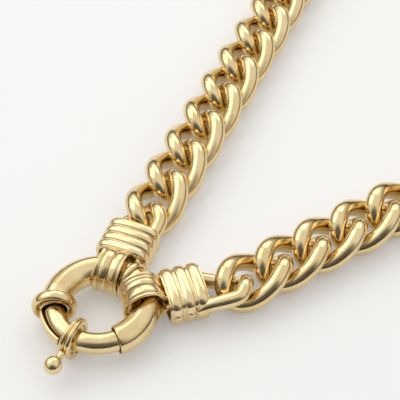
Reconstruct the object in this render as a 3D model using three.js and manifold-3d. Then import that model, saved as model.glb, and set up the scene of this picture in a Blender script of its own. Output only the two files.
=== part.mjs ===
// Curb-chain necklace with a spring bolt-ring clasp. Millimetres, +Z up.
// The chain lies in a closed teardrop on the plane z = 0. The clasp is at the -Y point and the back
// of the neck at the +Y end. Both strands leave the clasp as straight lines that meet, if drawn on,
// at the apex (0, 0) below the clasp. All positions are taken from that apex; the finished group is
// then shifted so that the origin is under the middle of its bounding box.
import * as THREE from 'three';
import { mergeVertices } from 'three/addons/utils/BufferGeometryUtils.js';
import Module from 'manifold-3d';

const wasm = await Module();
wasm.setup();

// ---- chain ----
const PITCH = 8.8;
const WIRE_RADIUS = 1.7;
const LINK_HALF_LENGTH = 6.25;
const LINK_HALF_WIDTH = 4.12;
const LINK_ROUNDNESS = 2.35;
const LINK_TWIST = radians(53);
const LINK_HEIGHT = 3.67;
const LINKS_PER_STRAND = 22;
const STRAND_ANGLE = radians(17.2);
const FIRST_LINK = { a: 44.3, b: 42.3 };
const NEAR_PITCH = { a: 8.8, b: 8.35 };
const NEAR_STEPS = 4;

// ---- clasp ring ----
const RING_CENTRE = new THREE.Vector2(-3.8, 17.2);
const RING_HEIGHT = 4.1;
const RING_RADIUS = 8.1;
const TUBE_RADIUS = 2.67;
const TUBE_BORE = 2.15;
const BOLT_RADIUS = 1.9;
const TUBE_END = -25;
const RAIL_END = 271;
const WINDOW = [229, 275];
const RAIL_SECTOR = [-115, 12];
const BOLT_TAIL = 203;
const BOLT_TIP = 338.5;
const TRIGGER_ANGLE = 281;
const TRIGGER_RADIUS = 3.8;
const STOP_ANGLES = [104, 111];
const SPRING_ANGLES = [112.5, 201.5];
const SPRING_TURNS = 11;
const SPRING_RADIUS = 1.45;
const SPRING_WIRE = 0.28;
const END_COLLAR_ANGLE = 222;
const MID_COLLAR_ANGLE = 90;
const COLLAR_GAP = 0.08;
const BEAD_GAP = 0.17;

// ---- connectors between the clasp ring and the chain ----
const CONNECTOR = {
  a: {
    ringAngle: 117, heading: 109.5, bailWidth: 4.7, bailShift: -0.1,
    cuffStart: 3.35, ribs: 4, arms: [3.1, -3.3],
  },
  b: {
    ringAngle: 49.5, heading: 57.5, bailWidth: 5.3, bailShift: 0.5,
    cuffStart: 3.8, ribs: 3, arms: [3.1, -4.2],
  },
};
const BAIL_PULL = -0.18;
const BAIL_ARCH = 0.36;
const BAIL_CLEARANCE = 0.68;
const BAIL_THICKNESS = 0.45;
const BAIL_BAND = 0.4;
const BAIL_HEIGHT = 4.25;
const BAIL_REACH = 7.0;
const CUFF_LENGTH = 7.2;
const CUFF_HEIGHT = 3.4;
const CUFF_HALF_WIDTH = 5.15;
const CUFF_HALF_HEIGHT = 3.55;
const CUFF_WALL = 0.5;
const CUFF_SQUARENESS = 2.9;
const RIB_DEPTH = 0.4;
const LOOP_WIRE = 1.45;
const NOTCH_GAP = 0.08;

// ---- finish ----
const GOLD = 0xe6c27c;
const STEEL = 0x8f8f8c;

function radians(degrees) {
  return degrees * Math.PI / 180;
}

function gold(shade = 1) {
  const colour = new THREE.Color(GOLD).multiplyScalar(shade);
  return new THREE.MeshStandardMaterial({ color: colour, roughness: 0.16, metalness: 1 });
}

function steel() {
  return new THREE.MeshStandardMaterial({ color: STEEL, roughness: 0.35, metalness: 1 });
}

function named(name, geometry, material = gold()) {
  const mesh = new THREE.Mesh(geometry, material);
  mesh.name = name;
  return mesh;
}

// A closed polygon drawn from [x, y] pairs.
function polygon(points) {
  return new THREE.Shape(points.map(([x, y]) => new THREE.Vector2(x, y)));
}

// Points on an arc of the given radius, both angles in degrees and both ends included.
function arcPoints(radius, from, to, steps) {
  const points = [];
  for (let i = 0; i <= steps; i += 1) {
    const angle = radians(from + (to - from) * i / steps);
    points.push([radius * Math.cos(angle), radius * Math.sin(angle)]);
  }
  return points;
}

function circle(radius, sides) {
  return arcPoints(radius, 0, 360 - 360 / sides, sides - 1);
}

// An arc in the ring's own plane, in degrees anticlockwise about the ring's centre.
class RingArc extends THREE.Curve {
  constructor(from, to) {
    super();
    this.from = radians(from);
    this.to = radians(to);
  }

  getPoint(t, target = new THREE.Vector3()) {
    const angle = this.from + (this.to - this.from) * t;
    return target.set(RING_RADIUS * Math.cos(angle), RING_RADIUS * Math.sin(angle), 0);
  }
}

// Sweeps a section round part of the ring. The section's first coordinate points out from the
// ring's centre and its second points up; along a flat arc the swept axes are down and inwards.
function ringSweep(section, from, to, stepDegrees, hole = null) {
  const shape = polygon(section.map(([out, up]) => [-up, -out]));
  if (hole) {
    shape.holes.push(new THREE.Path(hole.map(([out, up]) => new THREE.Vector2(-up, -out)).reverse()));
  }
  const steps = Math.max(1, Math.round((to - from) / stepDegrees));
  return new THREE.ExtrudeGeometry(shape, {
    steps, bevelEnabled: false, curveSegments: 1, extrudePath: new RingArc(from, to),
  });
}

// ---- solids for cutting ----
function toSolid(geometry) {
  const copy = geometry.clone();
  copy.deleteAttribute('normal');
  copy.deleteAttribute('uv');
  const merged = mergeVertices(copy, 1e-3);
  return new wasm.Manifold(new wasm.Mesh({
    numProp: 3,
    vertProperties: new Float32Array(merged.attributes.position.array),
    triVerts: new Uint32Array(merged.index.array),
  }));
}

function toGeometry(solid) {
  const mesh = solid.getMesh();
  const geometry = new THREE.BufferGeometry();
  geometry.setAttribute('position', new THREE.BufferAttribute(mesh.vertProperties, 3));
  geometry.setIndex(new THREE.BufferAttribute(mesh.triVerts, 1));
  return geometry;
}

// ---- the clasp ring's pieces, each built about the ring's centre ----
// A hollow tube with an open end for the bolt. Along the window its top and inner wall are cut
// away, so that only a rail is left under the bolt and outside it.
function claspTube() {
  const sides = 12;
  const tube = ringSweep(circle(TUBE_RADIUS, sides), TUBE_END, RAIL_END, 10, circle(TUBE_BORE, sides));
  const [railLow, railHigh] = RAIL_SECTOR;
  const sector = arcPoints(TUBE_RADIUS + 1, railHigh, railLow + 360, 10);
  const cutter = ringSweep([[0.35, -0.35], ...sector], WINDOW[0], WINDOW[1], 8.5);
  return toGeometry(toSolid(tube).subtract(toSolid(cutter)));
}

function claspBolt() {
  return ringSweep(circle(BOLT_RADIUS, 12), BOLT_TAIL, BOLT_TIP, 8);
}

// The ring that the finger pulls. It slides on the outside of the tube's rail, and a web through
// the window joins it to the bolt.
function triggerCollar() {
  const inner = TUBE_RADIUS + COLLAR_GAP;
  const web = BOLT_RADIUS + COLLAR_GAP;
  const [webFrom, webTo] = [70, 200];
  const section = [...arcPoints(TRIGGER_RADIUS, 0, 345, 23)].reverse();
  const hole = [...arcPoints(inner, webTo, webFrom + 360, 15), ...arcPoints(web, webFrom, webTo, 9)];
  const half = 5.8;
  return ringSweep(section.reverse(), TRIGGER_ANGLE - half, TRIGGER_ANGLE + half, half, hole);
}

// The knob: a short stem on the collar's outer edge that ends in a ball.
function triggerKnob() {
  const profile = [[0, 0], [0.85, 0], [0.85, 0.5], [0.6, 0.85], [0.6, 1.15]];
  const ballRadius = 1.65;
  const ballCentre = 2.75;
  const start = -68;
  for (let i = 0; i <= 7; i += 1) {
    const angle = radians(start + (90 - start) * i / 7);
    const x = i === 7 ? 0 : ballRadius * Math.cos(angle);
    profile.push([x, ballCentre + ballRadius * Math.sin(angle)]);
  }
  return new THREE.LatheGeometry(profile.map(([x, y]) => new THREE.Vector2(x, y)), 12);
}

// A closed profile turned about the tube's own axis: a half-round bead round the tube.
function beadCollar(inner, outer, width) {
  const half = width / 2;
  const profile = [[inner, -half], [inner + 0.15, -half]];
  const steps = 5;
  for (let i = 0; i <= steps; i += 1) {
    const angle = -Math.PI / 2 + Math.PI * i / steps;
    profile.push([inner + 0.35 + (outer - inner - 0.35) * Math.cos(angle), half * Math.sin(angle)]);
  }
  profile.push([inner + 0.15, half], [inner, half], [inner, -half]);
  return new THREE.LatheGeometry(profile.map(([x, y]) => new THREE.Vector2(x, y)), 16);
}

class SpringCurve extends THREE.Curve {
  getPoint(t, target = new THREE.Vector3()) {
    const along = radians(SPRING_ANGLES[0] + (SPRING_ANGLES[1] - SPRING_ANGLES[0]) * t);
    const turn = 2 * Math.PI * SPRING_TURNS * t;
    const radius = RING_RADIUS + SPRING_RADIUS * Math.cos(turn);
    return target.set(radius * Math.cos(along), radius * Math.sin(along), SPRING_RADIUS * Math.sin(turn));
  }
}

function claspSpring() {
  return new THREE.ExtrudeGeometry(polygon(circle(SPRING_WIRE, 4)), {
    steps: SPRING_TURNS * 8, bevelEnabled: false, extrudePath: new SpringCurve(),
  });
}

function springStop() {
  return ringSweep(circle(TUBE_BORE - COLLAR_GAP, 12), STOP_ANGLES[0], STOP_ANGLES[1], 7);
}

// ---- connector pieces, built along +X from the tube's centre ----
// The bail is a ribbed strap. It runs from inside the cuff over the tube, round and back.
class BailPath extends THREE.Curve {
  constructor() {
    super();
    const radius = TUBE_RADIUS + BAIL_CLEARANCE + BAIL_THICKNESS / 2;
    const tail = BAIL_THICKNESS / 2 + 0.2;
    const points = [[BAIL_REACH, tail], [BAIL_REACH - 1.2, tail + 0.25], [3.4, 0.95]];
    const sweep = 111;
    for (let i = 0; i <= 10; i += 1) {
      const angle = radians(180 - sweep + 2 * sweep * i / 10);
      points.push([radius * Math.cos(angle), radius * Math.sin(angle)]);
    }
    points.push([3.4, -0.95], [BAIL_REACH - 1.2, -tail - 0.25], [BAIL_REACH, -tail]);
    this.spline = new THREE.CatmullRomCurve3(points.map(([x, y]) => new THREE.Vector3(x, y, 0)));
  }

  getPoint(t, target) {
    return this.spline.getPoint(t, target);
  }
}

// Two half-round bands side by side with a thin lip outside each, on a flat back.
function bail(width) {
  const half = width / 2;
  const lip = 0.55;
  const back = BAIL_THICKNESS / 2;
  const floor = 0.1 - back;
  const band = half - lip;
  const section = [[-half, back], [-half, floor], [-half + lip, floor]];
  for (const side of [-1, 1]) {
    const centre = side * band / 2;
    for (let i = 1; i <= 3; i += 1) {
      const angle = Math.PI - Math.PI * i / 4;
      section.push([centre + band / 2 * Math.cos(angle), floor - BAIL_BAND * Math.sin(angle)]);
    }
    section.push([side < 0 ? 0 : band, floor]);
  }
  section.push([half, floor], [half, back], [0, back]);
  const arched = section.map(([x, y]) => [x, y - BAIL_ARCH * (x / half) ** 2]);
  const strap = new THREE.ExtrudeGeometry(polygon(arched), {
    steps: 20, bevelEnabled: false, extrudePath: new BailPath(),
  });
  strap.rotateX(Math.PI / 2);
  return strap;
}

// The cuff is a hollow barrel of half-round ribs with a flattened oval section.
function cuff(ribs) {
  const ribLength = CUFF_LENGTH / ribs;
  const profile = [[CUFF_HALF_HEIGHT - RIB_DEPTH - CUFF_WALL, CUFF_LENGTH / 2]];
  profile.push([CUFF_HALF_HEIGHT - RIB_DEPTH - CUFF_WALL, -CUFF_LENGTH / 2]);
  for (let rib = 0; rib < ribs; rib += 1) {
    for (let i = rib === 0 ? 0 : 1; i <= 4; i += 1) {
      const along = -CUFF_LENGTH / 2 + ribLength * (rib + i / 4);
      const proud = RIB_DEPTH * Math.sin(Math.PI * i / 4);
      profile.push([CUFF_HALF_HEIGHT - RIB_DEPTH + proud, along]);
    }
  }
  profile.push(profile[0]);
  const barrel = new THREE.LatheGeometry(profile.map(([x, y]) => new THREE.Vector2(x, y)), 20);
  barrel.rotateZ(-Math.PI / 2);
  const place = barrel.attributes.position;
  for (let i = 0; i < place.count; i += 1) {
    const angle = Math.atan2(place.getZ(i), place.getY(i));
    const radius = Math.hypot(place.getZ(i), place.getY(i));
    const square = (Math.abs(Math.cos(angle)) ** CUFF_SQUARENESS
      + Math.abs(Math.sin(angle)) ** CUFF_SQUARENESS) ** (-1 / CUFF_SQUARENESS);
    const widen = CUFF_HALF_WIDTH - CUFF_HALF_HEIGHT;
    place.setY(i, (radius + widen) * square * Math.cos(angle));
    place.setZ(i, Math.max(radius * square * Math.sin(angle), -CUFF_HEIGHT));
  }
  return barrel;
}

// ---- chain links ----
// An oval loop twisted about its long axis, so that links of one hand nest in each other.
function linkPoint(turn, target = new THREE.Vector3()) {
  const bend = (value) => Math.sign(value) * Math.abs(value) ** (2 / LINK_ROUNDNESS);
  const along = bend(Math.cos(turn));
  const across = LINK_HALF_WIDTH * bend(Math.sin(turn));
  const twist = -LINK_TWIST * along;
  return target.set(LINK_HALF_LENGTH * along, across * Math.cos(twist), across * Math.sin(twist));
}

class LinkCurve extends THREE.Curve {
  getPoint(t, target) {
    return linkPoint(2 * Math.PI * t, target);
  }
}

function chainLink() {
  return new THREE.TubeGeometry(new LinkCurve(), 18, WIRE_RADIUS, 6, true);
}

// ---- layout of the loop ----
// Each strand is straight from the apex and then bends round a quarter and more to the back.
const START = { a: Math.PI / 2 + STRAND_ANGLE, b: Math.PI / 2 - STRAND_ANGLE };
const BEND_TURN = Math.PI / 2 + STRAND_ANGLE;
const LOOP_LENGTH = linkStation('a', LINKS_PER_STRAND - 1) + linkStation('b', LINKS_PER_STRAND - 1) + PITCH;
const BEND_SHARE = Math.tan(STRAND_ANGLE);
const STRAIGHT = LOOP_LENGTH / 2 / (1 + BEND_TURN * BEND_SHARE);
const BEND_RADIUS = STRAIGHT * BEND_SHARE;

// How far along its strand a link lies. The first few of each strand have their own spacing.
function linkStation(strand, index) {
  const near = Math.min(index, NEAR_STEPS);
  return FIRST_LINK[strand] + near * NEAR_PITCH[strand] + (index - near) * PITCH;
}

// Position and heading at a distance along strand a (side = -1) or strand b (side = 1).
function alongStrand(distance, side) {
  const straight = Math.min(distance, STRAIGHT);
  const turned = Math.max(0, distance - STRAIGHT) / BEND_RADIUS;
  const heading = STRAND_ANGLE - turned;
  const across = straight * Math.sin(STRAND_ANGLE)
    + BEND_RADIUS * (Math.cos(heading) - Math.cos(STRAND_ANGLE));
  const away = straight * Math.cos(STRAND_ANGLE)
    + BEND_RADIUS * (Math.sin(STRAND_ANGLE) - Math.sin(heading));
  return { x: side * across, y: away, heading: Math.PI / 2 - side * heading };
}

function strandLinks(strand, side) {
  const links = new THREE.Group();
  for (let i = 0; i < LINKS_PER_STRAND; i += 1) {
    const place = alongStrand(linkStation(strand, i), side);
    const number = String(i + 1).padStart(2, '0');
    const link = named(`link_${strand}${number}`, chainLink());
    link.position.set(place.x, place.y, LINK_HEIGHT);
    link.rotation.z = place.heading;
    links.add(link);
  }
  return links;
}

// The wire loop that carries the first link: the far end of a link, with arms into the cuff.
function endLoop(strand, side, wire) {
  const virtual = alongStrand(linkStation(strand, -1), side);
  const settings = CONNECTOR[strand];
  const heading = radians(settings.heading);
  const root = ringPoint(settings.ringAngle, BAIL_PULL);
  const inCuff = (along, across, rise) => new THREE.Vector3(
    root.x + along * Math.cos(heading) - across * Math.sin(heading),
    root.y + along * Math.sin(heading) + across * Math.cos(heading),
    CUFF_HEIGHT + rise,
  );
  const armStart = settings.cuffStart + 5.3;
  const armExit = settings.cuffStart + 6.7;
  const [left, right] = settings.arms;
  const rise = 0.9;
  const points = [inCuff(armStart, left, 0), inCuff(armExit, left + 0.2, -rise)];
  for (const turn of [62, 40, 20, 0, -20, -40, -62]) {
    const tip = linkPoint(radians(turn)).applyAxisAngle(new THREE.Vector3(0, 0, 1), virtual.heading);
    points.push(tip.add(new THREE.Vector3(virtual.x, virtual.y, LINK_HEIGHT)));
  }
  points.push(inCuff(armExit, right - 0.2, rise), inCuff(armStart, right, 0));
  return new THREE.ExtrudeGeometry(polygon(circle(wire, 6)), {
    steps: 22, bevelEnabled: false, extrudePath: new THREE.CatmullRomCurve3(points),
  });
}

function ringPoint(degrees, outwards) {
  const angle = radians(degrees);
  const radius = RING_RADIUS + outwards;
  return new THREE.Vector2(
    RING_CENTRE.x + radius * Math.cos(angle),
    RING_CENTRE.y + radius * Math.sin(angle),
  );
}

// The bail, the cuff and the end loop of one strand. The cuff's rim is notched for the loop's arms.
function connector(strand, side) {
  const settings = CONNECTOR[strand];
  const root = ringPoint(settings.ringAngle, BAIL_PULL);
  const heading = radians(settings.heading);
  const strap = named(`bail_${strand}`, bail(settings.bailWidth));
  strap.geometry.translate(0, settings.bailShift, 0);
  strap.position.set(root.x, root.y, BAIL_HEIGHT);
  strap.rotation.z = heading;
  const barrel = cuff(settings.ribs);
  barrel.translate(settings.cuffStart + CUFF_LENGTH / 2, 0, CUFF_HEIGHT);
  barrel.rotateZ(heading);
  barrel.translate(root.x, root.y, 0);
  const notched = toSolid(barrel).subtract(toSolid(endLoop(strand, side, LOOP_WIRE + NOTCH_GAP)));
  const parts = new THREE.Group();
  parts.add(strap, named(`cuff_${strand}`, toGeometry(notched)));
  parts.add(named(`end_loop_${strand}`, endLoop(strand, side, LOOP_WIRE)));
  return parts;
}

// Puts a piece that is turned about local Y on the tube, with Y along the tube.
function onTube(mesh, degrees) {
  const angle = radians(degrees);
  mesh.position.set(RING_RADIUS * Math.cos(angle), RING_RADIUS * Math.sin(angle), 0);
  mesh.rotation.z = angle;
  return mesh;
}

function clasp() {
  const ring = new THREE.Group();
  const inner = TUBE_RADIUS + BEAD_GAP;
  ring.add(named('clasp_tube', claspTube()));
  ring.add(named('clasp_bolt', claspBolt(), gold(0.97)));
  ring.add(named('clasp_spring', claspSpring(), steel()));
  ring.add(named('spring_stop', springStop(), steel()));
  ring.add(onTube(named('end_collar', beadCollar(inner, 4.09, 2.1)), END_COLLAR_ANGLE));
  ring.add(onTube(named('mid_collar', beadCollar(inner, 3.35, 1.2)), MID_COLLAR_ANGLE));
  ring.add(named('trigger_collar', triggerCollar()));
  ring.add(trigger());
  ring.position.set(RING_CENTRE.x, RING_CENTRE.y, RING_HEIGHT);
  return ring;
}

function trigger() {
  const knob = named('trigger_knob', triggerKnob());
  const angle = radians(TRIGGER_ANGLE);
  const reach = RING_RADIUS + TRIGGER_RADIUS + 0.05;
  knob.rotation.set(0, 0, angle - Math.PI / 2);
  knob.position.set(reach * Math.cos(angle), reach * Math.sin(angle), 0.2);
  return knob;
}

const necklace = new THREE.Group();
necklace.add(clasp());
for (const [strand, side] of [['a', -1], ['b', 1]]) {
  necklace.add(connector(strand, side));
  necklace.add(strandLinks(strand, side));
}

// The origin goes under the middle of the bounding box, on the plane that the chain lies on.
necklace.updateMatrixWorld(true);
const middle = new THREE.Box3().setFromObject(necklace, true).getCenter(new THREE.Vector3());
necklace.position.set(-middle.x, -middle.y, 0);

export default necklace;
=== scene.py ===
"""Curb-chain necklace with a sprung bolt-ring clasp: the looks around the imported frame.

Shapes are drawn in millimetres and scaled to metres, which the frame, lights and camera use.
"""

import math

import bpy
import numpy as np
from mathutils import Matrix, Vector


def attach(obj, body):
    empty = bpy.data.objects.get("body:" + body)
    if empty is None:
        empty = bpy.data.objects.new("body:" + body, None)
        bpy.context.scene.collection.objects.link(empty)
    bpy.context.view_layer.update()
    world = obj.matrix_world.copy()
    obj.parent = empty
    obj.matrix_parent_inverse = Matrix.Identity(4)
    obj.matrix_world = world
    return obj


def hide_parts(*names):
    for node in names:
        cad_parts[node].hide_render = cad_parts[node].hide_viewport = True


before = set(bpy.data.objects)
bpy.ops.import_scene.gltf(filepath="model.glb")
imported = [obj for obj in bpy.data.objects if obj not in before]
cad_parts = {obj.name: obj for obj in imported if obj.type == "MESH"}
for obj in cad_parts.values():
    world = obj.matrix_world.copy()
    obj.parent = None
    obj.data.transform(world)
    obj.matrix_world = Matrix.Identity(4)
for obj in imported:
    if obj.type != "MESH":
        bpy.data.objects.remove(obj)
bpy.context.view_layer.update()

MM = 0.001
ORIGIN = np.array([0.03649, -102.90484, 0.0])

# The shapes are drawn from the point where the two strands' middle lines meet, as in the solid
# model, and ORIGIN then moves them into the frame.

# ---- chain: twisted oval links in two strands, a on the left and b on the right ----
PITCH = 8.8
WIRE_RADIUS = 1.66
LINK_HALF_LENGTH = 6.25
LINK_HALF_WIDTH = 4.12
LINK_ROUNDNESS = 2.35
LINK_TWIST = math.radians(53)
LINK_HEIGHT = 3.67
LINKS_PER_STRAND = 22
STRAND_ANGLE = math.radians(17.2)
FIRST_LINK = {"a": 44.3, "b": 42.3}
NEAR_PITCH = {"a": 8.8, "b": 8.35}
NEAR_STEPS = 4
SIDE = {"a": -1, "b": 1}

# ---- clasp: angles are round the ring in degrees, sizes along the tube are from its middle ----
RING_CENTRE = np.array([-3.8, 17.2, 4.1])
RING_RADIUS = 8.1
TUBE_RADIUS = 2.67
TUBE_BORE = 2.15
BOLT_RADIUS = 1.9
MOUTH_FLARE = 0.2
MOUTH_FLARE_SPAN = 9
TUBE_LIP = 1.5
TUBE_END = -25
WINDOW_START = 229
RAIL_END = 271
RAIL_SECTOR = (-115, 20)
RAIL_BORE = BOLT_RADIUS + 0.1
RAIL_EDGE = 2
BOLT_TAIL = 209.5
BOLT_TIP = 338.5
BOLT_DOME = 0.9
COLLAR_GAP = 0.17
END_COLLAR_ANGLE = 222
END_COLLAR_RADIUS = 4.09
END_COLLAR_HALF = 1.05
MID_COLLAR_ANGLE = 90
MID_COLLAR_RADIUS = 3.35
MID_COLLAR_HALF = 0.6
TRIGGER_ANGLE = 281
TRIGGER_RADIUS = 3.8
TRIGGER_RIDGE = 3.3
TRIGGER_HALF = 0.82
TRIGGER_GAP = 0.08
TRIGGER_WEB_HALF = 0.6
TRIGGER_WEB_SECTOR = (70, 200)
KNOB_RADIUS = 1.65
KNOB_REACH = 2.75
KNOB_RAISE = 0.2

# ---- connectors: sizes along each are from the clasp tube's middle, towards its strand ----
# A bail's bands are the shares of its width that each fold takes. A cuff's valley is the share
# of a rib that lies low between two crowns, and its beads are the round rib ends at its side.
CONNECTOR = {
    "a": {"ring_angle": 117, "heading": 109.5, "cuff_start": 3.35, "arms": (3.1, -3.3),
          "ribs": 4, "valley": 0.06, "beads": 0,
          "bail_width": 4.7, "bail_shift": -0.1, "bands": (0.13, 0.35, 0.35, 0.17)},
    "b": {"ring_angle": 49.5, "heading": 57.5, "cuff_start": 3.8, "arms": (3.1, -4.2),
          "ribs": 3, "valley": 0.10, "beads": 3,
          "bail_width": 5.3, "bail_shift": 0.5, "bands": (0.17, 0.35, 0.24, 0.12, 0.12)},
}
BAIL_PULL = -0.18
BAIL_ARCH = 0.42
BAIL_CLEARANCE = 0.70
BAIL_THICKNESS = 0.45
BAIL_EDGE = 0.08
BAND_CROWN = 0.4
BAND_CROWN_SHARE = 0.36
BAND_FULLNESS = 0.7
BAIL_HEIGHT = 4.25
BAIL_REACH = 7.0
BAIL_SWEEP = 118
BAIL_THROAT = (3.55, 1.15)
BAIL_KNEE = (5.8, 0.25)
LEG_GAP = 0.2
CUFF_LENGTH = 7.2
CUFF_HEIGHT = 3.4
CUFF_HALF_WIDTH = 5.15
CUFF_HALF_HEIGHT = 3.55
CUFF_WALL = 0.5
CUFF_SQUARENESS = 3.3
CUFF_LIP = 0.12
RIB_DEPTH = 0.4
RIB_BREADTH = 0.155
RIB_FLATNESS = 0.36
BEAD_RADIUS = 0.76
BEAD_INSET = 0.32
BEAD_HEIGHT = 3.75
LOOP_WIRE = 1.41
ARM_START = 5.3
ARM_EXIT = 6.7
ARM_RISE = 0.9
ARM_SPREAD = 0.2
ARM_DOME = 0.4


# ---- mesh building ----
def piece(name, points, faces, material, body, replaces):
    """A shown mesh from points in millimetres, riding on a body and standing for a CAD node."""
    mesh = bpy.data.meshes.new(name)
    mesh.from_pydata((np.asarray(points) + ORIGIN) * MM, [], faces)
    mesh.validate()
    for polygon in mesh.polygons:
        polygon.use_smooth = True
    mesh.materials.append(material)
    made = bpy.data.objects.new(name, mesh)
    bpy.context.collection.objects.link(made)
    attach(made, body)
    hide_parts(replaces)
    return made


def grid_faces(rows, columns, closed_rows=False, closed_columns=True):
    """Quads over a grid of points that was laid down row by row."""
    faces = []
    for i in range(rows if closed_rows else rows - 1):
        for j in range(columns if closed_columns else columns - 1):
            row, next_row = i * columns, (i + 1) % rows * columns
            next_j = (j + 1) % columns
            faces.append([row + j, next_row + j, next_row + next_j, row + next_j])
    return faces


def end_caps(rows, columns):
    """The flat faces that close a grid of rings at its first row and its last."""
    last = (rows - 1) * columns
    return [list(range(columns)), [last + i for i in range(columns)][::-1]]


def polar(radius, angle):
    """The point at a radius and an angle in radians."""
    return radius * math.cos(angle), radius * math.sin(angle)


def circle_angles(sides):
    """Evenly spaced angles all the way round."""
    return np.linspace(0, 2 * math.pi, sides, endpoint=False)


def flipped(faces):
    """The same faces seen from the other side."""
    return [face[::-1] for face in faces]


def even(points, count, closed):
    """The path resampled so that its points are evenly spaced."""
    track = np.vstack([points, points[:1]]) if closed else np.asarray(points)
    steps = np.linalg.norm(np.diff(track, axis=0), axis=1)
    length = np.concatenate([[0], np.cumsum(steps)])
    wanted = np.linspace(0, length[-1], count + 1 if closed else count)
    out = np.stack([np.interp(wanted, length, track[:, k]) for k in range(3)], axis=1)
    return out[:-1] if closed else out


def carried_frames(path, closed):
    """Two unit vectors across the path at each point, carried along it without twisting."""
    if closed:
        tangent = np.roll(path, -1, 0) - np.roll(path, 1, 0)
    else:
        tangent = np.gradient(path, axis=0)
    tangent /= np.linalg.norm(tangent, axis=1)[:, None]
    across = np.cross(tangent[0], [0, 0, 1.0])
    if np.linalg.norm(across) < 1e-3:
        across = np.array([1.0, 0, 0])
    normals = []
    for t in tangent:
        across = across - t * np.dot(across, t)
        across = across / np.linalg.norm(across)
        normals.append(across)
    normals = np.array(normals)
    if closed:
        last = normals[-1] - tangent[0] * np.dot(normals[-1], tangent[0])
        last /= np.linalg.norm(last)
        slip = math.atan2(np.dot(np.cross(last, normals[0]), tangent[0]), np.dot(last, normals[0]))
        matched = []
        for i, (n, t) in enumerate(zip(normals, tangent)):
            a = slip * i / len(path)
            matched.append(n * math.cos(a) + np.cross(t, n) * math.sin(a))
        normals = np.array(matched)
    return normals, np.cross(tangent, normals)


DOME_STEPS = (0.35, 0.7, 0.92)


def wire(path, radius, sides, closed, dome=0.0):
    """A round wire along a path. An open wire ends in low domes."""
    u, v = carried_frames(path, closed)
    around = circle_angles(sides)
    ring = np.cos(around)[None, :, None] * u[:, None] + np.sin(around)[None, :, None] * v[:, None]
    points = (path[:, None] + radius * ring).reshape(-1, 3)
    faces = flipped(grid_faces(len(path), sides, closed_rows=closed))
    if closed:
        return points, faces
    forward = np.cross(u, v)
    points = list(points)
    for end, away, previous in ((0, -forward[0], 0), (-1, forward[-1], (len(path) - 1) * sides)):
        cap = []
        for share in DOME_STEPS:
            start = len(points)
            size = radius * math.sqrt(1 - share ** 2)
            points += list(path[end] + dome * share * away + size * ring[end])
            for j in range(sides):
                k = (j + 1) % sides
                cap.append([previous + j, previous + k, start + k, start + j])
            previous = start
        tip = len(points)
        points.append(path[end] + dome * away)
        cap += [[previous + j, previous + (j + 1) % sides, tip] for j in range(sides)]
        faces += cap if end == -1 else flipped(cap)
    return np.array(points), faces


def on_ring(degrees, out, up):
    """Points about the clasp ring: out from its round centre line and up from its plane."""
    angle = np.radians(degrees)
    reach = RING_RADIUS + np.asarray(out)
    return np.stack([RING_CENTRE[0] + reach * np.cos(angle), RING_CENTRE[1] + reach * np.sin(angle),
                     RING_CENTRE[2] + np.asarray(up) + 0 * reach * angle], axis=-1)


def ring_sweep(loop, degrees):
    """A closed section (out, up) swept round the ring through the given angles, ends capped flat."""
    loop = np.asarray(loop)
    rows = [on_ring(d, loop[:, 0], loop[:, 1]) for d in degrees]
    count = len(loop)
    return np.concatenate(rows), grid_faces(len(rows), count) + end_caps(len(rows), count)


def ring_round(stations, sides):
    """Circles about the tube's axis at (angle, radius) stations, joined in order into one skin."""
    around = circle_angles(sides)
    rows = [on_ring(angle, radius * np.cos(around), radius * np.sin(around)) for angle, radius in stations]
    return np.concatenate(rows), grid_faces(len(rows), sides, closed_rows=True)


def turned(profile, sides):
    """A closed profile of (radius, along) pairs turned about the +Y axis."""
    around = circle_angles(sides)
    rows = [np.stack([r * np.cos(around), y + 0 * around, r * np.sin(around)], axis=1) for r, y in profile]
    return np.concatenate(rows), grid_faces(len(rows), sides, closed_rows=True)


def placed_on_tube(points, degrees):
    """Moves points turned about +Y on to the tube at an angle, with Y along the tube."""
    a = math.radians(degrees)
    x = RING_RADIUS + points[:, 0]
    y = points[:, 1]
    return np.stack([RING_CENTRE[0] + x * math.cos(a) - y * math.sin(a),
                     RING_CENTRE[1] + x * math.sin(a) + y * math.cos(a),
                     RING_CENTRE[2] + points[:, 2]], axis=1)


def bent_on_tube(points, degrees):
    """Places points as placed_on_tube does, but bends them with the tube, so that what is turned
    about +Y comes out narrower on the inside of the ring."""
    angles = degrees + np.degrees(points[:, 1] / RING_RADIUS)
    return np.array([on_ring(a, p[0], p[2]) for a, p in zip(angles, points)])


def ball(centre, radius, sides=20):
    """A ball with its two poles cut off flat, to be sunk in another surface."""
    rows = []
    for height in np.radians(np.linspace(-75, 75, 11)):
        level = [polar(radius * math.cos(height), a) for a in circle_angles(sides)]
        rows.append([[x, y, radius * math.sin(height)] for x, y in level])
    points = np.concatenate(rows)
    faces = grid_faces(len(rows), sides) + end_caps(len(rows), sides)
    return points + centre, outward(points, faces)


def joined(*parts):
    """Several (points, faces) shapes as one."""
    points, faces, start = [], [], 0
    for p, f in parts:
        points.append(np.asarray(p))
        faces += [[start + i for i in face] for face in f]
        start += len(p)
    return np.concatenate(points), faces


def outward(points, faces):
    """The faces turned so that the closed shape they make has a positive volume."""
    volume = 0.0
    for face in faces:
        a = points[face[0]]
        for i in range(1, len(face) - 1):
            volume += np.dot(a, np.cross(points[face[i]], points[face[i + 1]]))
    return faces if volume > 0 else flipped(faces)


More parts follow.
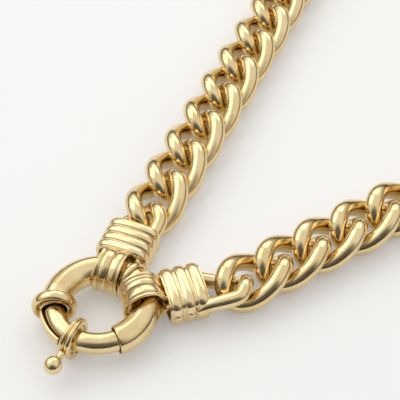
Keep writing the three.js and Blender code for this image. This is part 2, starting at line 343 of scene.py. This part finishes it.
def catmull(points, per_span=14):
    """A centripetal Catmull-Rom curve through the points."""
    p = [np.asarray(q, float) for q in points]
    p = [2 * p[0] - p[1]] + p + [2 * p[-1] - p[-2]]
    out = []
    for i in range(1, len(p) - 2):
        p0, p1, p2, p3 = p[i - 1:i + 3]
        t0 = 0.0
        t1 = t0 + np.linalg.norm(p1 - p0) ** 0.5
        t2 = t1 + np.linalg.norm(p2 - p1) ** 0.5
        t3 = t2 + np.linalg.norm(p3 - p2) ** 0.5
        for s in np.linspace(0, 1, per_span, endpoint=False):
            t = t1 + (t2 - t1) * s
            a1 = (t1 - t) / (t1 - t0) * p0 + (t - t0) / (t1 - t0) * p1
            a2 = (t2 - t) / (t2 - t1) * p1 + (t - t1) / (t2 - t1) * p2
            a3 = (t3 - t) / (t3 - t2) * p2 + (t - t2) / (t3 - t2) * p3
            b1 = (t2 - t) / (t2 - t0) * a1 + (t - t0) / (t2 - t0) * a2
            b2 = (t3 - t) / (t3 - t1) * a2 + (t - t1) / (t3 - t1) * a3
            out.append((t2 - t) / (t2 - t1) * b1 + (t - t1) / (t2 - t1) * b2)
    out.append(p[-2])
    return np.array(out)


# ---- materials ----
def node(tree, kind, **inputs):
    """A new shader node with its inputs set by name."""
    made = tree.nodes.new(kind)
    for key, value in inputs.items():
        made.inputs[key.replace("_", " ")].default_value = value
    return made


def metal(name, light, deep, rough, scratch=0.010, grain=900.0):
    """Polished metal: a slow drift of colour, uneven polish, fine buffing marks and tiny dents."""
    material = bpy.data.materials.new(name)
    material.use_nodes = True
    tree = material.node_tree
    link = tree.links.new
    shader = tree.nodes["Principled BSDF"]
    shader.inputs["Metallic"].default_value = 1.0
    place = tree.nodes.new("ShaderNodeTexCoord")

    drift = node(tree, "ShaderNodeTexNoise", Scale=260.0, Detail=3.0, Roughness=0.55)
    tint = tree.nodes.new("ShaderNodeValToRGB")
    tint.color_ramp.elements[0].position = 0.32
    tint.color_ramp.elements[0].color = (*deep, 1)
    tint.color_ramp.elements[1].position = 0.62
    tint.color_ramp.elements[1].color = (*light, 1)
    link(place.outputs["Object"], drift.inputs["Vector"])
    link(drift.outputs["Fac"], tint.inputs["Fac"])
    link(tint.outputs["Color"], shader.inputs["Base Color"])

    polish = node(tree, "ShaderNodeTexNoise", Scale=grain, Detail=5.0, Roughness=0.65)
    spread = node(tree, "ShaderNodeMapRange")
    spread.inputs["From Min"].default_value = 0.3
    spread.inputs["From Max"].default_value = 0.75
    spread.inputs["To Min"].default_value = rough * 0.65
    spread.inputs["To Max"].default_value = rough * 1.6
    link(place.outputs["Object"], polish.inputs["Vector"])
    link(polish.outputs["Fac"], spread.inputs["Value"])
    link(spread.outputs["Result"], shader.inputs["Roughness"])

    stretch = tree.nodes.new("ShaderNodeMapping")
    stretch.inputs["Scale"].default_value = (1.0, 6.0, 2.5)
    buff = node(tree, "ShaderNodeTexNoise", Scale=1800.0, Detail=6.0, Roughness=0.7)
    dents = node(tree, "ShaderNodeTexNoise", Scale=320.0, Detail=2.0, Roughness=0.5)
    link(place.outputs["Object"], stretch.inputs["Vector"])
    link(stretch.outputs["Vector"], buff.inputs["Vector"])
    link(place.outputs["Object"], dents.inputs["Vector"])
    fine = node(tree, "ShaderNodeBump", Strength=scratch, Distance=0.0004)
    broad = node(tree, "ShaderNodeBump", Strength=0.10, Distance=0.0006)
    link(buff.outputs["Fac"], fine.inputs["Height"])
    link(dents.outputs["Fac"], broad.inputs["Height"])
    link(fine.outputs["Normal"], broad.inputs["Normal"])
    link(broad.outputs["Normal"], shader.inputs["Normal"])
    return material


GOLD = metal("polished_gold", (0.86, 0.69, 0.39), (0.79, 0.60, 0.31), 0.14)
CAST_GOLD = metal("cast_gold", (0.87, 0.71, 0.42), (0.78, 0.59, 0.31), 0.18, scratch=0.02, grain=1400.0)
# Painted shade: a dark brown, rougher metal for the inside of the clasp tube, so that its bore and mouth read
# dark.
BORE_PAINTED_SHADE = metal("bore_painted_shade", (0.20, 0.12, 0.05), (0.12, 0.07, 0.03), 0.42)
STEEL = metal("spring_steel", (0.58, 0.57, 0.55), (0.45, 0.44, 0.43), 0.28)


# ---- chain links ----
def squared(value):
    """A sine or cosine pushed outwards, which makes a circle of them squarer."""
    return np.sign(value) * np.abs(value) ** (2 / LINK_ROUNDNESS)


def link_points(turns):
    """The middle line of a twisted oval link that points along +X."""
    along = squared(np.cos(turns))
    across = LINK_HALF_WIDTH * squared(np.sin(turns))
    twist = -LINK_TWIST * along
    return np.stack([LINK_HALF_LENGTH * along, across * np.cos(twist), across * np.sin(twist)], axis=-1)


def turned_about_z(points, angle):
    """The points turned about +Z, anticlockwise from above."""
    c, s = math.cos(angle), math.sin(angle)
    return points @ np.array([[c, s, 0], [-s, c, 0], [0, 0, 1]])


def link_station(strand, index):
    """How far along its strand a link lies. The first few have their own spacing."""
    near = min(index, NEAR_STEPS)
    return FIRST_LINK[strand] + near * NEAR_PITCH[strand] + (index - near) * PITCH


# Each strand runs straight and then joins the other through one arc round the back.
BEND_TURN = math.pi / 2 + STRAND_ANGLE
LOOP_LENGTH = link_station("a", LINKS_PER_STRAND - 1) + link_station("b", LINKS_PER_STRAND - 1) + PITCH
BEND_SHARE = math.tan(STRAND_ANGLE)
STRAIGHT = LOOP_LENGTH / 2 / (1 + BEND_TURN * BEND_SHARE)
BEND_RADIUS = STRAIGHT * BEND_SHARE


def along_strand(distance, side):
    """The place on the strand's middle line and the heading there."""
    straight = min(distance, STRAIGHT)
    heading = STRAND_ANGLE - max(0.0, distance - STRAIGHT) / BEND_RADIUS
    across = straight * math.sin(STRAND_ANGLE) + BEND_RADIUS * (math.cos(heading) - math.cos(STRAND_ANGLE))
    away = straight * math.cos(STRAND_ANGLE) + BEND_RADIUS * (math.sin(STRAND_ANGLE) - math.sin(heading))
    return np.array([side * across, away, LINK_HEIGHT]), math.pi / 2 - side * heading


def make_links(strand):
    """All the links of one strand: the same twisted wire, each on its own body."""
    turns = np.linspace(0, 2 * math.pi, 720, endpoint=False)
    path = even(link_points(turns), 96, closed=True)
    points, faces = wire(path, WIRE_RADIUS, 28, closed=True)
    faces = outward(points, faces)
    for i in range(LINKS_PER_STRAND):
        place, heading = along_strand(link_station(strand, i), SIDE[strand])
        label = f"{strand}{i + 1:02d}"
        piece(f"curb_link_{label}", turned_about_z(points, heading) + place, faces, GOLD,
              f"chain_{label}", f"link_{label}")


# ---- connectors ----
def in_connector(strand, points):
    """Moves points drawn along +X from the clasp tube's middle into place on one strand."""
    x, y = polar(RING_RADIUS + BAIL_PULL, math.radians(CONNECTOR[strand]["ring_angle"]))
    root = np.array([RING_CENTRE[0] + x, RING_CENTRE[1] + y, 0.0])
    return turned_about_z(np.asarray(points), math.radians(CONNECTOR[strand]["heading"])) + root


def end_loop(strand):
    """A wire that leaves the cuff, goes round as the link before the first would, and comes back."""
    start = CONNECTOR[strand]["cuff_start"] + ARM_START
    mouth = CONNECTOR[strand]["cuff_start"] + ARM_EXIT
    left, right = CONNECTOR[strand]["arms"]
    place, heading = along_strand(link_station(strand, -1), SIDE[strand])
    tips = turned_about_z(link_points(np.radians([62, 40, 20, 0, -20, -40, -62])), heading) + place
    first = in_connector(strand, [[start, left, CUFF_HEIGHT],
                                  [mouth, left + ARM_SPREAD, CUFF_HEIGHT - ARM_RISE]])
    last = in_connector(strand, [[mouth, right - ARM_SPREAD, CUFF_HEIGHT + ARM_RISE],
                                 [start, right, CUFF_HEIGHT]])
    path = even(catmull(np.vstack([first, tips, last])), 96, closed=False)
    points, faces = wire(path, LOOP_WIRE, 28, closed=False, dome=ARM_DOME)
    piece(f"end_loop_wire_{strand}", points, outward(points, faces), GOLD,
          f"connector_{strand}", f"end_loop_{strand}")


def cuff_profile(strand):
    """The barrel's wall as (along, radius) pairs: ribs outside, a thin rolled lip at each rim."""
    ribs, steps = CONNECTOR[strand]["ribs"], 24
    valley = CONNECTOR[strand]["valley"]
    base = CUFF_HALF_HEIGHT - RIB_DEPTH
    inner = base - CUFF_WALL
    half = CUFF_LENGTH / 2
    profile = []
    for i in range(ribs * steps + 1):
        share = (i % steps) / steps
        phase = share - RIB_BREADTH * math.sin(2 * math.pi * share)
        crown = min(1.0, max(0.0, (phase - valley) / (1 - 2 * valley)))
        proud = RIB_DEPTH * abs(math.sin(math.pi * crown)) ** RIB_FLATNESS
        profile.append((-half + CUFF_LENGTH / ribs * (i // steps + phase), base + proud))
    for share in (0.0, 0.15, 0.5, 0.85, 1.0):
        profile.append((half + CUFF_LIP * math.sin(math.pi * share), base + (inner - base) * share))
    profile += [(half * s, inner) for s in (0.8, 0.4, 0.0, -0.4, -0.8)]
    for share in (0.0, 0.15, 0.5, 0.85):
        profile.append((-half - CUFF_LIP * math.sin(math.pi * share), inner + (base - inner) * share))
    return profile


def cuff(strand):
    """A squarish barrel of broad ribs, flat where it rests on the table."""
    sides = 96
    around = circle_angles(sides)
    square = (np.abs(np.cos(around)) ** CUFF_SQUARENESS
              + np.abs(np.sin(around)) ** CUFF_SQUARENESS) ** (-1 / CUFF_SQUARENESS)
    widen = CUFF_HALF_WIDTH - CUFF_HALF_HEIGHT
    start, ribs = CONNECTOR[strand]["cuff_start"], CONNECTOR[strand]["ribs"]
    rows = []
    for along, radius in cuff_profile(strand):
        height = np.maximum(radius * square * np.sin(around), -CUFF_HEIGHT)
        rows.append(np.stack([start + CUFF_LENGTH / 2 + along + 0 * around,
                              (radius + widen) * square * np.cos(around), CUFF_HEIGHT + height], axis=1))
    barrel = np.concatenate(rows)
    parts = [(barrel, outward(barrel, grid_faces(len(rows), sides, closed_rows=True)))]
    for i in range(CONNECTOR[strand]["beads"]):
        along = start + CUFF_LENGTH / ribs * (i + 0.5)
        parts.append(ball([along, BEAD_INSET - CUFF_HALF_WIDTH, BEAD_HEIGHT], BEAD_RADIUS))
    points, faces = joined(*parts)
    piece(f"ribbed_cuff_{strand}", in_connector(strand, points), faces, CAST_GOLD,
          f"connector_{strand}", f"cuff_{strand}")


def bail_section(strand):
    """Half-round bands side by side on a gently flared back: (across, depth) pairs."""
    half = CONNECTOR[strand]["bail_width"] / 2
    back = BAIL_THICKNESS / 2
    floor = 0.1 - back
    outline = [(-half, back - BAIL_EDGE), (-half, floor + 0.06)]
    start = -half
    for share in CONNECTOR[strand]["bands"]:
        width = 2 * half * share
        for step in np.linspace(0.03, 0.97, 11):
            angle = math.pi * (1 - step)
            crown = min(BAND_CROWN, BAND_CROWN_SHARE * width) * math.sin(angle) ** BAND_FULLNESS
            outline.append((start + width / 2 * (1 + math.cos(angle)), floor - crown))
        start += width
    outline += [(half, floor + 0.06), (half, back - BAIL_EDGE)]
    outline += [(half * s, back) for s in (0.94, 0.6, 0.3, 0.0, -0.3, -0.6, -0.94)]
    return [(x, y - BAIL_ARCH * (x / half) ** 2) for x, y in outline]


def bail(strand):
    """A strap folded round the clasp tube, its legs ending one above the other inside the cuff."""
    radius = TUBE_RADIUS + BAIL_CLEARANCE + BAIL_THICKNESS / 2
    leg = BAIL_THICKNESS / 2 + LEG_GAP
    knee, knee_rise = BAIL_KNEE
    throat, throat_height = BAIL_THROAT
    upper = [[BAIL_REACH, 0, leg], [knee, 0, leg + knee_rise], [throat, 0, throat_height]]
    turn = [[radius * math.cos(a), 0, radius * math.sin(a)]
            for a in np.radians(np.linspace(180 - BAIL_SWEEP, 180 + BAIL_SWEEP, 11))]
    lower = [[x, y, -z] for x, y, z in reversed(upper)]
    path = even(catmull(upper + turn + lower), 110, closed=False)
    tangent = np.gradient(path, axis=0)
    tangent /= np.linalg.norm(tangent, axis=1)[:, None]
    inward = np.cross([0, 1.0, 0], tangent)
    if inward[len(path) // 2][0] < 0:
        inward = -inward
    section = np.array(bail_section(strand))
    rows = [p + section[:, :1] * np.array([[0, 1.0, 0]]) + section[:, 1:] * n for p, n in zip(path, inward)]
    points = np.concatenate(rows) + [0, CONNECTOR[strand]["bail_shift"], BAIL_HEIGHT]
    points = in_connector(strand, points)
    faces = grid_faces(len(rows), len(section)) + end_caps(len(rows), len(section))
    piece(f"ribbed_bail_{strand}", points, outward(points, faces), CAST_GOLD,
          f"connector_{strand}", f"bail_{strand}")


# ---- clasp ----
def tube_stations():
    """Round the tube's wall as (angle, radius): along the outside, back through the bore."""
    lip = (TUBE_RADIUS - TUBE_BORE) / 2
    middle = (TUBE_RADIUS + TUBE_BORE) / 2
    mouth_lip = lip - MOUTH_FLARE / 2
    mouth_middle = middle + MOUTH_FLARE / 2
    to_degrees = math.degrees(1 / RING_RADIUS)
    first, last = TUBE_END + TUBE_LIP, WINDOW_START - TUBE_LIP
    stations = [(angle, TUBE_RADIUS) for angle in np.linspace(first, last, 110)]
    for a in np.radians(np.linspace(80, -80, 7)):
        stations.append((last + lip * math.cos(a) * to_degrees, middle + lip * math.sin(a)))
    for angle in np.linspace(last, first, 90):
        flare = max(0.0, 1 - (angle - TUBE_END) / MOUTH_FLARE_SPAN) ** 2
        stations.append((angle, TUBE_BORE + MOUTH_FLARE * flare))
    for a in np.radians(np.linspace(-80, 80, 7)):
        stations.append((first - lip * math.cos(a) * to_degrees, mouth_middle + mouth_lip * math.sin(a)))
    return stations


def rail_section():
    """The wall that carries on under the window: (out, up) pairs round part of a thick circle."""
    low, high = np.radians(RAIL_SECTOR)
    inset = math.radians(RAIL_EDGE)
    lip = (TUBE_RADIUS - RAIL_BORE) / 2
    middle = (TUBE_RADIUS + RAIL_BORE) / 2
    bulge = lip * 0.6 / middle
    section = [polar(TUBE_RADIUS, a) for a in np.linspace(low + inset, high - inset, 24)]
    for a in np.radians(np.linspace(70, -70, 5)):
        section.append(polar(middle + lip * math.sin(a), high + bulge * math.cos(a)))
    section += [polar(RAIL_BORE, a) for a in np.linspace(high - inset, low + inset, 20)]
    for a in np.radians(np.linspace(-70, 70, 5)):
        section.append(polar(middle + lip * math.sin(a), low - bulge * math.cos(a)))
    return section


def clasp_tube():
    """The hollow tube, and the rail that carries on under the window."""
    shell = ring_round(tube_stations(), 48)
    rail = ring_sweep(rail_section(), np.linspace(WINDOW_START - 1, RAIL_END, 26))
    points, faces = joined(*[(p, outward(p, f)) for p, f in (shell, rail)])
    tube = piece("clasp_ring_tube", points, faces, GOLD, "clasp_ring", "clasp_tube")
    # The faces inside the bore take the dark metal, which paints the shade in the bore and at the tube's
    # mouth.
    tube.data.materials.append(BORE_PAINTED_SHADE)
    for face in tube.data.polygons:
        x, y, z = np.array(face.center) / MM - ORIGIN - RING_CENTRE
        if math.hypot(math.hypot(x, y) - RING_RADIUS, z) < (TUBE_RADIUS + TUBE_BORE) / 2:
            face.material_index = 1


def clasp_bolt():
    """The curved bolt, which shows in the window and reaches into the mouth at the tube's end."""
    path = on_ring(np.linspace(BOLT_TAIL, BOLT_TIP, 90), 0, 0)
    points, faces = wire(path, BOLT_RADIUS, 40, closed=False, dome=BOLT_DOME)
    piece("bolt", points, outward(points, faces), GOLD, "clasp_slider", "clasp_bolt")


def rim(name, degrees, profile, node_name):
    """A turned ring fixed round the tube."""
    points, faces = turned(profile, 72)
    points = placed_on_tube(points, degrees)
    piece(name, points, outward(points, faces), GOLD, "clasp_ring", node_name)


def end_collar():
    """A rolled rim that stands proud of the tube, cupped on the side where the bolt comes out."""
    inner, half = TUBE_RADIUS + COLLAR_GAP, END_COLLAR_HALF
    middle = inner + 0.62
    profile = [(inner, -half), (inner + 0.25, -half - 0.02)]
    for a in np.radians(np.linspace(-88, 88, 25)):
        profile.append((middle + (END_COLLAR_RADIUS - middle) * math.cos(a), half * math.sin(a)))
    profile += [(middle - 0.18, half - 0.06), (inner + 0.2, half - 0.5), (inner + 0.02, half - 0.62)]
    rim("end_rim", END_COLLAR_ANGLE, profile, "end_collar")


def mid_collar():
    """A low rounded rim between the two bails."""
    inner, half = TUBE_RADIUS + COLLAR_GAP, MID_COLLAR_HALF
    middle = inner + 0.12
    profile = [(inner, -half)]
    for a in np.radians(np.linspace(-85, 85, 17)):
        profile.append((middle + (MID_COLLAR_RADIUS - middle) * math.cos(a), half * math.sin(a)))
    profile.append((inner, half))
    rim("tube_rim", MID_COLLAR_ANGLE, profile, "mid_collar")


def trigger_web(inner):
    """A short curved bar under the trigger ring that joins it to the bolt through the window."""
    steps = 30
    around = np.radians(np.linspace(*TRIGGER_WEB_SECTOR, steps))
    foot, top, half = BOLT_RADIUS - 0.05, inner + 0.1, TRIGGER_WEB_HALF
    rows = []
    for r, y in ((foot, -half), (top, -half), (top, half), (foot, half)):
        rows.append(np.stack([r * np.cos(around), y + 0 * around, r * np.sin(around)], axis=1))
    faces = grid_faces(4, steps, closed_rows=True, closed_columns=False)
    faces.append([row * steps for row in range(4)])
    faces.append([row * steps + steps - 1 for row in (3, 2, 1, 0)])
    return np.concatenate(rows), faces


def trigger_collar():
    """Two ridges with a groove between, and the web that joins the ring to the bolt."""
    inner, half = TUBE_RADIUS + TRIGGER_GAP, TRIGGER_HALF
    height = TRIGGER_RADIUS - TRIGGER_RIDGE
    profile = [(inner, -half), (inner + 0.2, -half)]
    for side in (-1, 1):
        for a in np.radians(np.linspace(-80, 80, 11)):
            profile.append((TRIGGER_RIDGE + height * math.cos(a), half / 2 * (side + math.sin(a))))
    profile += [(inner + 0.2, half), (inner, half)]
    parts = [(bent_on_tube(p, TRIGGER_ANGLE), f) for p, f in (turned(profile, 72), trigger_web(inner))]
    points, faces = joined(*[(p, outward(p, f)) for p, f in parts])
    piece("trigger_ring", points, faces, GOLD, "clasp_slider", "trigger_collar")


def trigger_knob():
    """A short turned stem that ends in a ball. The stem is drawn along +Y, then laid outwards."""
    profile = [(0.8, 0.0), (0.82, 0.1), (0.78, 0.35), (0.7, 0.6), (0.64, 0.85), (0.62, 1.05)]
    profile += [(0.66, 1.17), (0.72, 1.22)]
    for a in np.radians(np.linspace(-62, 89.5, 30)):
        profile.append((KNOB_RADIUS * math.cos(a), KNOB_REACH + KNOB_RADIUS * math.sin(a)))
    sides = 48
    points, _ = turned(profile, sides)
    faces = grid_faces(len(profile), sides) + end_caps(len(profile), sides)
    out = TRIGGER_RADIUS + 0.05 + points[:, 1]
    laid = np.stack([out, -points[:, 0], KNOB_RAISE + points[:, 2]], axis=1)
    points = placed_on_tube(laid, TRIGGER_ANGLE)
    piece("trigger_ball", points, outward(points, faces), GOLD, "clasp_slider", "trigger_knob")


for build in (clasp_tube, clasp_bolt, end_collar, mid_collar, trigger_collar, trigger_knob):
    build()
for strand in ("a", "b"):
    bail(strand)
    cuff(strand)
    end_loop(strand)
    make_links(strand)
for hidden_inside in ("clasp_spring", "spring_stop"):
    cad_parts[hidden_inside].data.materials.clear()
    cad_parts[hidden_inside].data.materials.append(STEEL)


# ---- floor, light and camera ----
FLOOR_HALF_SIZE = 1.6
FLOOR_DROP = 0.00002


def floor():
    """A matt white card just under the chain. It glows faintly and evenly, which paints light into the
    shadows on it.
    """
    mesh = bpy.data.meshes.new("floor")
    corners = [(x * FLOOR_HALF_SIZE, y * FLOOR_HALF_SIZE, 0) for x, y in ((-1, -1), (1, -1), (1, 1), (-1, 1))]
    mesh.from_pydata(corners, [], [[0, 1, 2, 3]])
    material = bpy.data.materials.new("white_card_painted_glow")
    material.use_nodes = True
    tree = material.node_tree
    shader = tree.nodes["Principled BSDF"]
    shader.inputs["Roughness"].default_value = 0.75
    shader.inputs["Specular IOR Level"].default_value = 0.25
    # Painted light: the card glows a little, so that the shadows cast on it come out lighter.
    shader.inputs["Emission Color"].default_value = (1.0, 0.995, 0.99, 1)
    shader.inputs["Emission Strength"].default_value = 0.225
    fibre = node(tree, "ShaderNodeTexNoise", Scale=60.0, Detail=4.0)
    shade = tree.nodes.new("ShaderNodeValToRGB")
    shade.color_ramp.elements[0].color = (0.72, 0.715, 0.71, 1)
    shade.color_ramp.elements[1].color = (0.75, 0.75, 0.75, 1)
    tree.links.new(fibre.outputs["Fac"], shade.inputs["Fac"])
    tree.links.new(shade.outputs["Color"], shader.inputs["Base Color"])
    mesh.materials.append(material)
    made = bpy.data.objects.new("floor", mesh)
    bpy.context.collection.objects.link(made)
    made.location.z = -FLOOR_DROP


LOOK_AT = Vector((-0.0091663, -0.0525965, 0.0))
VIEW_HEADING = math.radians(131.26)
VIEW_TILT = math.radians(49.08)
VIEW_DISTANCE = 0.25185


def softbox(name, heading, tilt, distance, width, height, power, colour):
    """A rectangular light that faces the clasp. Heading is anticlockwise from the camera's view."""
    data = bpy.data.lights.new(name, "AREA")
    data.shape = "RECTANGLE"
    data.size, data.size_y = width, height
    data.energy = power
    data.color = colour
    made = bpy.data.objects.new(name, data)
    h, e = VIEW_HEADING + math.radians(heading), math.radians(tilt)
    away = Vector((math.cos(h) * math.cos(e), math.sin(h) * math.cos(e), math.sin(e)))
    made.location = LOOK_AT + away * distance
    made.rotation_euler = (-away).to_track_quat("-Z", "Y").to_euler()
    bpy.context.collection.objects.link(made)


def surroundings():
    """A pale tent: bright overhead, dimmer towards the horizon and dimmer still behind the camera."""
    world = bpy.data.worlds.new("studio")
    bpy.context.scene.world = world
    world.use_nodes = True
    tree = world.node_tree
    link = tree.links.new
    back = tree.nodes["Background"]
    place = tree.nodes.new("ShaderNodeTexCoord")
    split = tree.nodes.new("ShaderNodeSeparateXYZ")
    height = tree.nodes.new("ShaderNodeValToRGB")
    height.color_ramp.interpolation = "EASE"
    height.color_ramp.elements[0].position = 0.03
    height.color_ramp.elements[0].color = (0.05, 0.035, 0.02, 1)
    height.color_ramp.elements[1].position = 0.60
    height.color_ramp.elements[1].color = (0.88, 0.875, 0.865, 1)
    for position, colour in ((0.12, (0.13, 0.10, 0.07, 1)), (0.27, (0.62, 0.60, 0.57, 1))):
        height.color_ramp.elements.new(position).color = colour
    link(place.outputs["Generated"], split.inputs["Vector"])
    link(split.outputs["Z"], height.inputs["Fac"])
    towards = node(tree, "ShaderNodeVectorMath")
    towards.operation = "DOT_PRODUCT"
    towards.inputs[1].default_value = (-math.cos(VIEW_HEADING), -math.sin(VIEW_HEADING), 0.35)
    link(place.outputs["Generated"], towards.inputs[0])
    behind = node(tree, "ShaderNodeMapRange")
    behind.interpolation_type = "SMOOTHSTEP"
    behind.inputs["From Min"].default_value = 0.62
    behind.inputs["From Max"].default_value = 0.98
    behind.inputs["To Min"].default_value = 1.0
    behind.inputs["To Max"].default_value = 0.15
    link(towards.outputs["Value"], behind.inputs["Value"])
    link(height.outputs["Color"], back.inputs["Color"])
    link(behind.outputs["Result"], back.inputs["Strength"])


def camera():
    """A long lens that looks down on the clasp end of the necklace, from its right."""
    data = bpy.data.cameras.new("camera")
    data.sensor_width = 36
    data.lens = 116.57
    data.clip_start = 0.01
    made = bpy.data.objects.new("camera", data)
    forward = Vector((math.cos(VIEW_HEADING) * math.cos(VIEW_TILT),
                      math.sin(VIEW_HEADING) * math.cos(VIEW_TILT), -math.sin(VIEW_TILT)))
    made.location = LOOK_AT - forward * VIEW_DISTANCE
    made.rotation_euler = forward.to_track_quat("-Z", "Y").to_euler()
    bpy.context.collection.objects.link(made)
    bpy.context.scene.camera = made


floor()
surroundings()
softbox("key", 62, 52, 0.60, 0.52, 0.48, 0.85, (1.0, 0.985, 0.955))
softbox("back", -12, 40, 0.65, 0.60, 0.34, 0.62, (1.0, 0.995, 0.98))
camera()
bpy.context.scene.view_settings.view_transform = "Standard"
